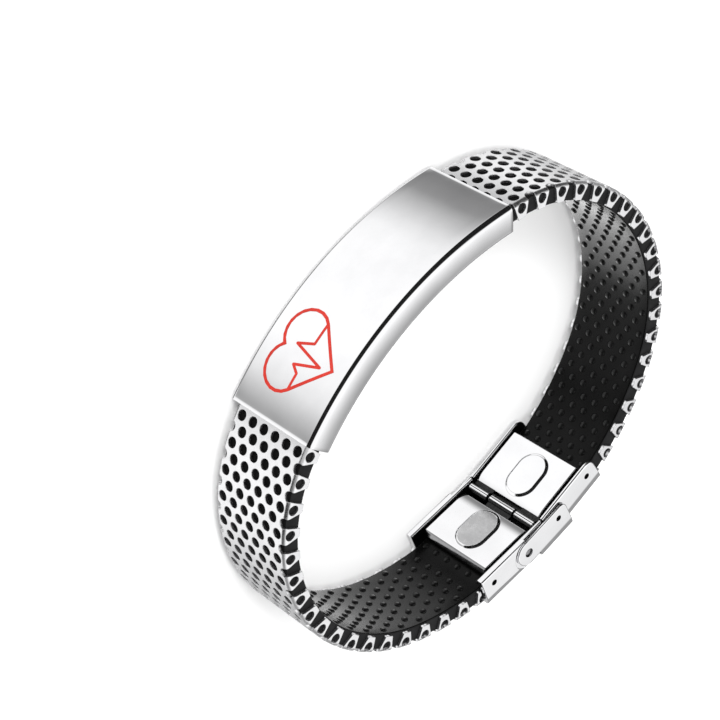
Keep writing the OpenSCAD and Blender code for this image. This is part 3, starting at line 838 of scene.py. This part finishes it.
def from_oval(side, u, z):
    """Distance out of the outline of a clamp plate's raised oval."""
    middle = (CLAMP_START + CLAMP_LEN[side]) / 2
    reach = (OVAL_LEN - OVAL_W) / 2
    return np.hypot(np.maximum(np.abs(u - middle) - reach, 0), z) - OVAL_W / 2


def clamp_relief(side, u, z):
    """Outward place of a clamp plate's inner face, with its raised oval and bent ends."""
    oval = OVAL_RISE * smooth_step((OVAL_PAST - from_oval(side, u, z)) / OVAL_SHOULDER)
    curl = HINGE_CURL * (1 - np.clip((u - SHEET_START) / HINGE_REACH, 0, 1)) ** 2
    edge = np.minimum(np.minimum(u - SHEET_START, lip_end(side) - u),
                      np.minimum(CLAMP_TOP - z, CLAMP_BOTTOM + z))
    off = np.clip(PLATE_ROUND - edge, 0, PLATE_ROUND)
    drop = PLATE_ROUND - np.sqrt(PLATE_ROUND ** 2 - off ** 2)
    return curl + lip_bend(side, u) + drop - CLAMP_T / 2 - oval


def relief_normals(side, u, z):
    """Directions that a clamp plate's inner face looks to, from the slope of its relief."""
    step = SLOPE_STEP
    inside_u = np.clip(u, SHEET_START + step, lip_end(side) - step)
    inside_z = np.clip(z, step - CLAMP_BOTTOM, CLAMP_TOP - step)
    rise_u = clamp_relief(side, inside_u + step, z) - clamp_relief(side, inside_u - step, z)
    rise_z = clamp_relief(side, u, inside_z + step) - clamp_relief(side, u, inside_z - step)
    normals = np.stack([rise_u / (2 * step), -np.ones_like(u), rise_z / (2 * step)], -1)
    return unit(normals).reshape(-1, 3)


def clamp_sheet(side):
    """Corners, faces and normals of a clamp plate's sheet, in the hinge's frame."""
    end = lip_end(side)
    u, z = np.meshgrid(spaced(SHEET_START, end), spaced(-CLAMP_BOTTOM, CLAMP_TOP), indexing="ij")
    corners = np.stack([u, clamp_relief(side, u, z), z], -1).reshape(-1, 3)
    index = np.arange(u.size).reshape(u.shape)
    a, b, c, d = index[:-1, :-1], index[1:, :-1], index[1:, 1:], index[:-1, 1:]
    faces = np.stack([a, b, c, d], -1).reshape(-1, 4).tolist()
    ring = [*index[:, 0], *index[-1, 1:], *index[-2::-1, -1], *index[0, -2:0:-1]]
    back = corners[ring].copy()
    back[:, 1] = CLAMP_T / 2 + lip_bend(side, back[:, 0])
    count, size = u.size, len(ring)
    faces += [[ring[k], count + k, count + (k + 1) % size, ring[(k + 1) % size]] for k in range(size)]
    faces.append(list(range(count + size - 1, count - 1, -1)))
    away = back - np.array([(SHEET_START + end) / 2, 0, 0])
    away[:, 1] = 0
    back_normals = unit(away) * BACK_OUT + np.array([0, BACK_STRAIGHT, 0])
    return (np.concatenate([corners, back]), faces,
            np.concatenate([relief_normals(side, u, z), back_normals]))


def knuckle_tube(r, z0, z1):
    """Corners and faces of a knuckle rolled round the pin, with a web that runs into the sheet."""
    soft, bore = KNUCKLE_SOFT, PIN_R + PIN_GAP
    rings = [(bore, z0), (r - soft, z0), (r, z0 + soft), (r, z1 - soft), (r - soft, z1), (bore, z1)]
    verts = [(x, y, z) for rad, z in rings for x, y in circle((0, 0), rad, KNUCKLE_STEPS)]
    faces = ring_faces(len(rings), KNUCKLE_STEPS, closed=True)
    count, web_end = len(verts), SHEET_START + WEB_IN
    web = [(WEB_START, -WEB_IN), (web_end, 0.0), (web_end, CLAMP_T / 2), (WEB_START, CLAMP_T / 2)]
    verts += [(x, y, z) for z in (z0 + soft, z1 - soft) for x, y in web]
    faces += [tuple(count + k for k in f) for f in end_faces(2, 4) + ring_faces(2, 4)]
    return np.array(verts), faces


def shared_normals(mesh, count, normals):
    """Gives the first faces of a mesh the normals of their corners, and leaves the others their own."""
    loops = [(0.0, 0.0, 0.0)] * len(mesh.loops)
    for poly in list(mesh.polygons)[:count]:
        if len(poly.vertices) == 4 and max(poly.vertices) < len(normals):
            for loop in poly.loop_indices:
                loops[loop] = tuple(normals[mesh.loops[loop].vertex_index])
    mesh.normals_split_custom_set(loops)


def clamp_skin(name, side):
    """Clamp plate of pressed sheet with its rolled knuckles."""
    r, z0, z1 = KNUCKLES[side]
    verts, faces, normals = clamp_sheet(side)
    sheet_faces = len(faces)
    finish = {}
    for number, face in enumerate(faces):
        corners = verts[list(face)]
        u, y, z = corners.mean(0)
        # The bent lip gets painted shade
        if corners[:, 0].min() > CLAMP_LEN[side] + NEAR:
            finish[number] = SHADED
        # The oval gets a stamped satin finish whose darker tone is partly painted shade
        if side > 0 and y < 0 and from_oval(side, u, z) < STAMP_IN:
            finish[number] = STAMP_AND_SHADE
    for low, high in [(z0, z1)] + ([(-z1, -z0)] if side < 0 else []):
        tube_verts, tube_faces = knuckle_tube(r, low, high)
        faces += [[v + len(verts) for v in f] for f in tube_faces]
        verts = np.concatenate([verts, tube_verts])
    tilt = COVER_TILT[side]
    pin = np.array([PIN_DEPTH * sin(tilt), -PIN_DEPTH * cos(tilt), 0])
    obj = new_object(name, verts + pin, faces)
    mesh = obj.data
    # Each knuckle keeps bright steel in a narrow band and is painted shade on its sides
    for poly in list(mesh.polygons)[sheet_faces:]:
        x, y = (poly.center - Vector(pin)).xy
        lit = hypot(x, y) < r + CLOSE and KNUCKLE_LIT[0] < abs(atan2(x, -y)) < KNUCKLE_LIT[1]
        poly.material_index = STEEL if lit else PAINTED_SHADE
    for number, slot in finish.items():
        mesh.polygons[number].material_index = slot
    place = hinge_place(*cover_axes(side))
    mesh.transform(place)
    tidy_normals(obj, sharp=38)
    shared_normals(mesh, sheet_faces, normals @ np.array(place.to_3x3().normalized()).T)
    return obj


# The rivets

RIVET_DOME, DOME_ANGLES, RIVET_STEPS = 0.42, (12, 26, 40, 52, 64, 75, 84), 48


def lathe(name, centre, z_from, z_to, profile):
    """Turned piece about a vertical axis, from pairs of radius and share of the height."""
    verts = [(x * MM, y * MM, (z_from + (z_to - z_from) * share) * MM)
             for r, share in profile for x, y in circle(centre, r, RIVET_STEPS)]
    return stacked(name, verts, len(profile))


def rivet(name, node):
    """Rivet with a low dome and a rounded rim, on its outer side."""
    low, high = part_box(node)
    centre = ((low.x + high.x) / 2 / MM, (low.y + high.y) / 2 / MM)
    r = (high.x - low.x) / 2 / MM
    inner, outer = (low.z, high.z) if low.z > MIDDLE_Z * MM else (high.z, low.z)
    dome = RIVET_DOME / (abs(outer - inner) / MM)
    profile = [(r, 0.0), (r, 1 - dome)]
    profile += [(r * cos(a), 1 - dome + dome * sin(a)) for a in map(radians, DOME_ANGLES)]
    return lathe(name, centre, inner / MM, outer / MM, profile)


# Materials

# The middle range of a noise texture, and how rough its finer layers are
LOW_NOISE, HIGH_NOISE, NOISE_ROUGH = 0.3, 0.7, 0.55
# How far the silicone's roughness goes up and down
SILICONE_SPREAD = 0.05


class Tree:
    """Short way to build the nodes of a material or of the world."""

    def __init__(self, owner):
        owner.use_nodes = True
        self.tree = owner.node_tree
        self.tree.nodes.clear()

    def add(self, kind, inputs=(), **values):
        """A node with its settings, and with links or plain values in its named sockets."""
        node = self.tree.nodes.new(kind)
        for key, value in values.items():
            setattr(node, key, value)
        for key, value in dict(inputs).items():
            if isinstance(value, bpy.types.NodeSocket):
                self.tree.links.new(value, node.inputs[key])
            else:
                node.inputs[key].default_value = value
        return node

    def ramp(self, fac, stops):
        """Colours by place, from pairs of a place and a colour."""
        node = self.add("ShaderNodeValToRGB", {"Fac": fac})
        elements = node.color_ramp.elements
        while len(elements) < len(stops):
            elements.new(0.5)
        for element, (place, colour) in zip(elements, stops):
            element.position = place
            element.color = (*colour, 1)
        return node.outputs["Color"]


class Finish(Tree):
    """A material's nodes: one surface shader with a tone, a roughness and a fine relief from noise."""

    def __init__(self, name, **values):
        self.material = bpy.data.materials.new(name)
        super().__init__(self.material)
        out = self.add("ShaderNodeOutputMaterial")
        sockets = {key.replace("_", " "): value for key, value in values.items()}
        self.shader = self.add("ShaderNodeBsdfPrincipled", sockets)
        self.tree.links.new(self.shader.outputs[0], out.inputs["Surface"])
        self.coords = self.add("ShaderNodeTexCoord").outputs["Object"]

    def stretch(self, scale):
        """Stretches the noise along the object's axes."""
        self.coords = self.add("ShaderNodeMapping", {"Vector": self.coords, "Scale": scale}).outputs[0]

    def noise(self, scale, detail):
        inputs = {"Vector": self.coords, "Scale": scale, "Detail": detail, "Roughness": NOISE_ROUGH}
        return self.add("ShaderNodeTexNoise", inputs).outputs["Fac"]

    def feed(self, socket, output):
        self.tree.links.new(output, self.shader.inputs[socket])

    def tone(self, scale, detail, dark, light):
        """Colours the surface between two tones over a noise's middle range."""
        colour = self.ramp(self.noise(scale, detail), [(LOW_NOISE, dark), (HIGH_NOISE, light)])
        self.feed("Base Color", colour)

    def rough(self, scale, detail, low, high):
        """Gives the surface a roughness between two values over a noise's middle range."""
        inputs = {"Value": self.noise(scale, detail), "From Min": LOW_NOISE, "From Max": HIGH_NOISE,
                  "To Min": low, "To Max": high}
        self.feed("Roughness", self.add("ShaderNodeMapRange", inputs).outputs["Result"])

    def relief(self, scale, detail, strength, distance):
        """Gives the surface a relief too fine to model, from noise."""
        inputs = {"Height": self.noise(scale, detail), "Strength": strength, "Distance": distance}
        self.feed("Normal", self.add("ShaderNodeBump", inputs).outputs[0])


def grey(level, cool=0.0):
    """A grey, with a little more blue where it is cool."""
    return level, level, level + cool


def polished_steel():
    m = Finish("polished_steel", Metallic=1.0)
    m.tone(180, 4, grey(0.80, 0.01), grey(0.87, 0.01))
    m.rough(180, 4, 0.045, 0.085)
    m.relief(160, 2, 0.03, 0.00005)
    return m.material


def mesh_steel():
    m = Finish("mesh_steel", Metallic=1.0)
    m.tone(260, 4, grey(0.76, 0.01), grey(0.86, 0.01))
    m.rough(1400, 3, 0.24, 0.34)
    m.relief(5200, 4, 0.06, 0.00002)
    return m.material


# Steel of the rivets and the hinge pin; its dark tone is painted shade, for the shade round the rivets and
# between the knuckles
def pin_steel():
    m = Finish("pin_steel", Metallic=1.0)
    m.stretch((0.3, 0.3, 1))
    m.tone(5200, 3, grey(0.2, 0.005), grey(0.3, 0.005))
    m.rough(5200, 3, 0.08, 0.16)
    m.relief(5200, 3, 0.05, 0.00001)
    return m.material


# Mid-grey steel: painted shade on the clamp plate's bent lip
def shaded_steel():
    m = Finish("shaded_steel", Metallic=1.0)
    m.tone(900, 2, grey(0.26, 0.005), grey(0.33, 0.005))
    m.rough(900, 2, 0.14, 0.2)
    return m.material


# Satin steel of the stamped oval; its roughness is the stamp's own, its darker tone is partly painted shade
# standing in for a dished oval's shade
def stamped_satin_and_shade():
    m = Finish("stamped_satin_and_shade", Metallic=1.0)
    m.tone(500, 3, grey(0.48, 0.005), grey(0.6, 0.005))
    m.rough(2400, 3, 0.26, 0.36)
    m.relief(3000, 3, 0.1, 0.00002)
    return m.material


# Near-black steel: painted shade in the clasp's channels, in its snap dots and on the knuckles' sides
def painted_shade_steel():
    m = Finish("painted_shade_steel", Metallic=1.0)
    m.tone(3000, 2, grey(0.02), grey(0.05))
    m.rough(3000, 2, 0.3, 0.4)
    return m.material


def silicone(name, dark, light, rough, gloss, sheen=0.0):
    m = Finish(name, Specular_IOR_Level=gloss, Sheen_Weight=sheen, Sheen_Roughness=0.25)
    m.tone(420, 5, dark, light)
    m.rough(2600, 3, rough - SILICONE_SPREAD, rough + SILICONE_SPREAD)
    m.relief(7800, 5, 0.12, 0.00002)
    return m.material


def red_enamel():
    m = Finish("red_enamel", Specular_IOR_Level=0.25)
    m.tone(700, 3, (0.42, 0.02, 0.011), (0.5, 0.026, 0.014))
    m.rough(1900, 2, 0.2, 0.3)
    m.relief(2400, 2, 0.03, 0.00001)
    return m.material


def floor_paint():
    m = Finish("floor_paint", Specular_IOR_Level=0.1)
    m.tone(30, 2, grey(0.90), grey(0.92))
    m.rough(60, 2, 0.85, 0.95)
    return m.material


# Camera and floor

TARGET = Vector((7.006, -20.0, 7.8)) * MM
CAMERA_PLACE = Vector((63.525, -218.967, 182.095)) * MM
CAMERA_ROLL = radians(-120.818)
LENS, SENSOR, CLIP = 105.64, 36.0, (0.01, 20.0)
# Half the floor's side, and its place just under the bracelet, in metres
FLOOR_HALF, FLOOR_Z = 3.0, -0.00002


def camera():
    """Camera at the photo's angle, from its place, the point it looks at and its roll."""
    data = bpy.data.cameras.new("camera")
    data.lens, data.sensor_width = LENS, SENSOR
    data.clip_start, data.clip_end = CLIP
    cam = linked("camera", data)
    forward = (TARGET - CAMERA_PLACE).normalized()
    level_right = forward.cross(Vector((0, 0, 1))).normalized()
    level_up = level_right.cross(forward)
    up = Matrix.Rotation(CAMERA_ROLL, 3, forward) @ level_up
    turn = Matrix((forward.cross(up), up, -forward)).transposed()
    cam.matrix_world = Matrix.Translation(CAMERA_PLACE) @ turn.to_4x4()
    bpy.context.scene.camera = cam


def floor():
    """Pale floor that shiny surfaces don't reflect."""
    corners = [(x * FLOOR_HALF, y * FLOOR_HALF, FLOOR_Z) for x, y in ((-1, -1), (1, -1), (1, 1), (-1, 1))]
    obj = new_object("floor", corners, [(0, 1, 2, 3)])
    obj.data.materials.append(floor_paint())
    obj.visible_glossy = False
    floor_fill(obj)


# Lamps, in metres and watts

KEY_PLACE, KEY_SIZE, KEY_POWER = (-0.12, -0.78, 0.56), (0.3, 0.3), 5.0
FILL_PLACE, FILL_SIZE, FILL_POWER = (0, 0, 1.0), (0.4, 0.4), 3.0
SOFTBOX_PLACE, SOFTBOX_SIZE, SOFTBOX_POWER = (0.05, -0.75, 0.55), (1.6, 1.3), 4.4
# Distance from the middle and height of the strip lights, and each one's azimuth in degrees, size and power
STRIP_REACH, STRIP_Z = 0.77, -0.64
STRIPS = {"strap_strip_right": (57, (1.04, 0.5), 5.9), "strap_strip_left": (158, (1.7, 0.5), 3.9)}


def area_light(name, place, size, power, glossy=False):
    """Lamp that faces the bracelet and that the camera doesn't see."""
    data = bpy.data.lights.new(name, "AREA")
    data.shape, data.size, data.size_y = "RECTANGLE", size[0], size[1]
    data.energy = power
    lamp = linked(name, data)
    lamp.location = place
    lamp.rotation_mode = "QUATERNION"
    lamp.rotation_quaternion = (Vector() - Vector(place)).to_track_quat("-Z", "Y")
    lamp.visible_glossy = glossy
    lamp.visible_camera = False
    return lamp


def lights_only(lamp, name, pieces):
    """Limits a lamp's light to some pieces, and gives their group."""
    group = bpy.data.collections.new(name)
    for piece in pieces:
        group.objects.link(piece)
    lamp.light_linking.receiver_collection = group
    return group


def floor_fill(ground):
    """Lamp right above the loop that keeps the floor inside it pale."""
    lights_only(area_light("floor_fill", FILL_PLACE, FILL_SIZE, FILL_POWER), "ground", [ground])


def mesh_softbox(pieces):
    """Soft box over the camera that lights the pierced mesh alone."""
    lamp = area_light("mesh_softbox", SOFTBOX_PLACE, SOFTBOX_SIZE, SOFTBOX_POWER, glossy=True)
    lights_only(lamp, "mesh_pieces", pieces)


def strap_strips(pieces):
    """Two strip lights that give the strap its sheen where it turns away from the camera."""
    for name, (azimuth, size, power) in STRIPS.items():
        turn = radians(azimuth)
        place = (STRIP_REACH * cos(turn), STRIP_REACH * sin(turn), STRIP_Z)
        lamp = area_light(name, place, size, power, glossy=True)
        lamp.light_linking.blocker_collection = lights_only(lamp, name, pieces)


# World: what shiny surfaces see is a ring of panels and cards, and all else sees plain white

# Brightness of the ring of panels near the floor by azimuth in degrees, with gaps between the panels
LOWER_RING = [(-180, 1.0), (-170, 1.0), (-160, 0.85), (-154, 0.2), (-145, 0.28), (-138, 0.54), (-132, 0.78),
              (-126, 0.92), (-119, 0.97), (-112, 1.0), (-82, 1.0), (-73, 0.93), (-66, 0.8), (-60, 0.55),
              (-55, 0.34), (-50, 0.85), (-44, 1.0), (16, 1.0), (34, 0.8), (54, 0.5), (90, 0.45), (120, 0.6),
              (150, 0.62), (162, 0.75), (172, 0.95), (180, 1.0)]
GLOSSY_WHITE, DIFFUSE_WHITE = 1.2, 1.1
FRONT_DARK, BACK_GREY, UNDER_DARK = 0.012, 0.3, 0.15
# Where the zones change, in a direction of length one: its y for the front card, its z for the others
FRONT_EDGE, BELT_FOOT, RING_TOP, UNDER_EDGE = (-0.05, 0.3), (-0.42, -0.3), (-0.45, -0.3), (-0.985, -0.9)
BACK_TOP, FRONT_TOP = (0.34, 0.66), (0.84, 0.93)


class Sky(Tree):
    """The world's nodes, with a few sums."""

    def maths(self, operation, *values):
        return self.add("ShaderNodeMath", dict(enumerate(values)), operation=operation).outputs[0]

    def rise(self, value, edge):
        """Zero below an edge, one above it, and smooth across it."""
        inputs = {"Value": value, "From Min": edge[0], "From Max": edge[1]}
        return self.add("ShaderNodeMapRange", inputs, interpolation_type="SMOOTHSTEP").outputs["Result"]

    def less(self, value):
        return self.maths("SUBTRACT", 1.0, value)

    def blend(self, share, a, b):
        """From a to b as the share goes from zero to one."""
        parts = self.maths("MULTIPLY", self.less(share), a), self.maths("MULTIPLY", share, b)
        return self.maths("ADD", *parts)

    def light(self, colour, strength):
        return self.add("ShaderNodeBackground", {"Color": colour, "Strength": strength}).outputs[0]


def lower_ring(sky, x, y, z):
    """White panels with gaps round the foot of the studio, plain white over them and dark right below."""
    turn = sky.maths("DIVIDE", sky.maths("ADD", sky.maths("ARCTAN2", y, x), pi), 2 * pi)
    ring = sky.ramp(turn, [((degrees + 180) / 360, grey(level)) for degrees, level in LOWER_RING])
    lower = sky.blend(sky.rise(z, RING_TOP), ring, 1.0)
    return sky.maths("MULTIPLY", lower, sky.blend(sky.rise(z, UNDER_EDGE), UNDER_DARK, 1.0))


def world():
    """White studio with a dark card at the front, a grey belt at the back and gaps in its lower ring."""
    studio_world = bpy.data.worlds.new("studio")
    bpy.context.scene.world = studio_world
    sky = Sky(studio_world)
    direction = sky.add("ShaderNodeTexCoord").outputs["Generated"]
    x, y, z = sky.add("ShaderNodeSeparateXYZ", {0: direction}).outputs
    front = sky.less(sky.rise(y, FRONT_EDGE))
    tops = sky.blend(front, sky.less(sky.rise(z, BACK_TOP)), sky.less(sky.rise(z, FRONT_TOP)))
    belt = sky.maths("MULTIPLY", sky.rise(z, BELT_FOOT), tops)
    cards = sky.blend(front, BACK_GREY, FRONT_DARK)
    shade = sky.blend(belt, lower_ring(sky, x, y, z), cards)
    for_glossy = sky.add("ShaderNodeLightPath").outputs["Is Glossy Ray"]
    plain, shiny = sky.light((1, 1, 1, 1), DIFFUSE_WHITE), sky.light(shade, GLOSSY_WHITE)
    mixed = sky.add("ShaderNodeMixShader", {0: for_glossy, 1: plain, 2: shiny}).outputs[0]
    sky.add("ShaderNodeOutputWorld", {"Surface": mixed})


def studio():
    """The world, the key light, and colours as they are."""
    world()
    area_light("key", KEY_PLACE, KEY_SIZE, KEY_POWER)
    view = bpy.context.scene.view_settings
    view.view_transform = "Standard"
    view.look = "None"


# The bracelet

# How much of a face's direction lies along the height where the face is one of the strap's edges
EDGE_SHARE = 0.6


def strap_zones(obj):
    """Gives the strap's edges their own matte finish, with a lighter tone that is painted light, and its
    hidden outer face its own finish.
    """
    for poly in obj.data.polygons:
        place, out = poly.center, poly.normal
        away_from_wrist = place.x * out.x + place.y * out.y > 0
        if abs(out.z) > EDGE_SHARE:
            poly.material_index = 1
        elif abs(place.z / MM - MIDDLE_Z) < STRAP_HALF and away_from_wrist:
            poly.material_index = 2


def strap(body):
    """The strap and its grip, in four finishes of black silicone, the edges' lighter tone being painted
    light, and the strip lights for them alone.
    """
    inner = silicone("silicone", grey(0.001), grey(0.003), 0.26, 0.11, sheen=0.3)
    # The edges' matte roughness is their own; their lighter tone is painted light
    edges = silicone("silicone_edges_painted_light", grey(0.008, 0.0005), grey(0.015, 0.0005), 0.55, 0.12)
    outer = silicone("silicone_back", grey(0.004), grey(0.006), 0.85, 0.05)
    dots = silicone("silicone_dots", grey(0.003), grey(0.006), 0.3, 0.3)
    skin = dress(strap_skin(), [inner, edges, outer], "silicone", body, "strap")
    strap_zones(skin)
    strap_strips([skin, dress(strap_grip(), dots, "silicone", body)])


def build():
    """All pieces, in place of the CAD nodes that they stand for, and the nodes that stay."""
    steel, satin, turned, recess = polished_steel(), mesh_steel(), pin_steel(), painted_shade_steel()
    skins = [pierced_sheet("mesh_skin_right", 1), pierced_sheet("mesh_skin_left", -1)]
    dress(skins[0], satin, "mesh_steel", "band", "mesh_right")
    dress(skins[1], satin, "mesh_steel", "band", "mesh_left")
    mesh_softbox(skins)
    strap("band")
    dress(plate_skin(), steel, "polished_steel", "band", "id_plate")
    # The folded pieces' second and third materials are painted shade
    folded = [steel, recess, shaded_steel()]
    dress(cover_skin("cover_left_skin", -1), folded, "polished_steel", "band", "clasp_cover_left")
    dress(cover_skin("cover_right_skin", 1), folded, "polished_steel", "band", "clasp_cover_right")
    dress(flap_skin("flap_skin"), folded, "polished_steel", "flap", "safety_flap")
    dress(clamp_skin("clamp_left_skin", -1), folded, "polished_steel", "clamp_left", "clamp_plate_left")
    folded = [*folded, stamped_satin_and_shade()]
    dress(clamp_skin("clamp_right_skin", 1), folded, "polished_steel", "clamp_right", "clamp_plate_right")
    for end in ("top", "bottom"):
        node = f"flap_rivet_{end}"
        dress(rivet(f"rivet_{end}_skin", node), turned, "pin_steel", "band", node)
    for node, material in (("emblem", red_enamel()), ("hinge_pin", turned)):
        obj = frame["nodes"][node]
        obj.data.materials.clear()
        obj.data.materials.append(material)


camera()
floor()
studio()
build()
